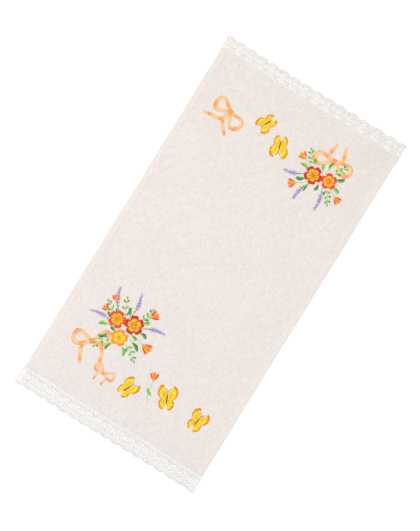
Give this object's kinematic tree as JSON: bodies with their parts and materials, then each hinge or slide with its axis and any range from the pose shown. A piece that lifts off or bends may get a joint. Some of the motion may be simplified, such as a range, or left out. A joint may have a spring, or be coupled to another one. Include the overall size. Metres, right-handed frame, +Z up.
{
  "type": "linen towel",
  "caption": "Flat linen hand towel with side hems and a scalloped cotton lace edging across each end.",
  "frame": {"origin": "centre of the towel's footprint, on the surface it lies on", "axes": "+X across the towel, +Y along it towards the end whose lace is tucked under the cloth, +Z up out of the face side"},
  "size_m": [0.3624, 0.7038, 0.0032],
  "materials": {
    "linen": "plain-weave off-white linen with slubs",
    "cotton_lace": "matt white cotton bobbin-style lace"
  },
  "bodies": {
    "root": {"linen_panel": "linen", "lace_near": "cotton_lace", "lace_far": "cotton_lace"}
  },
  "joints": []
}
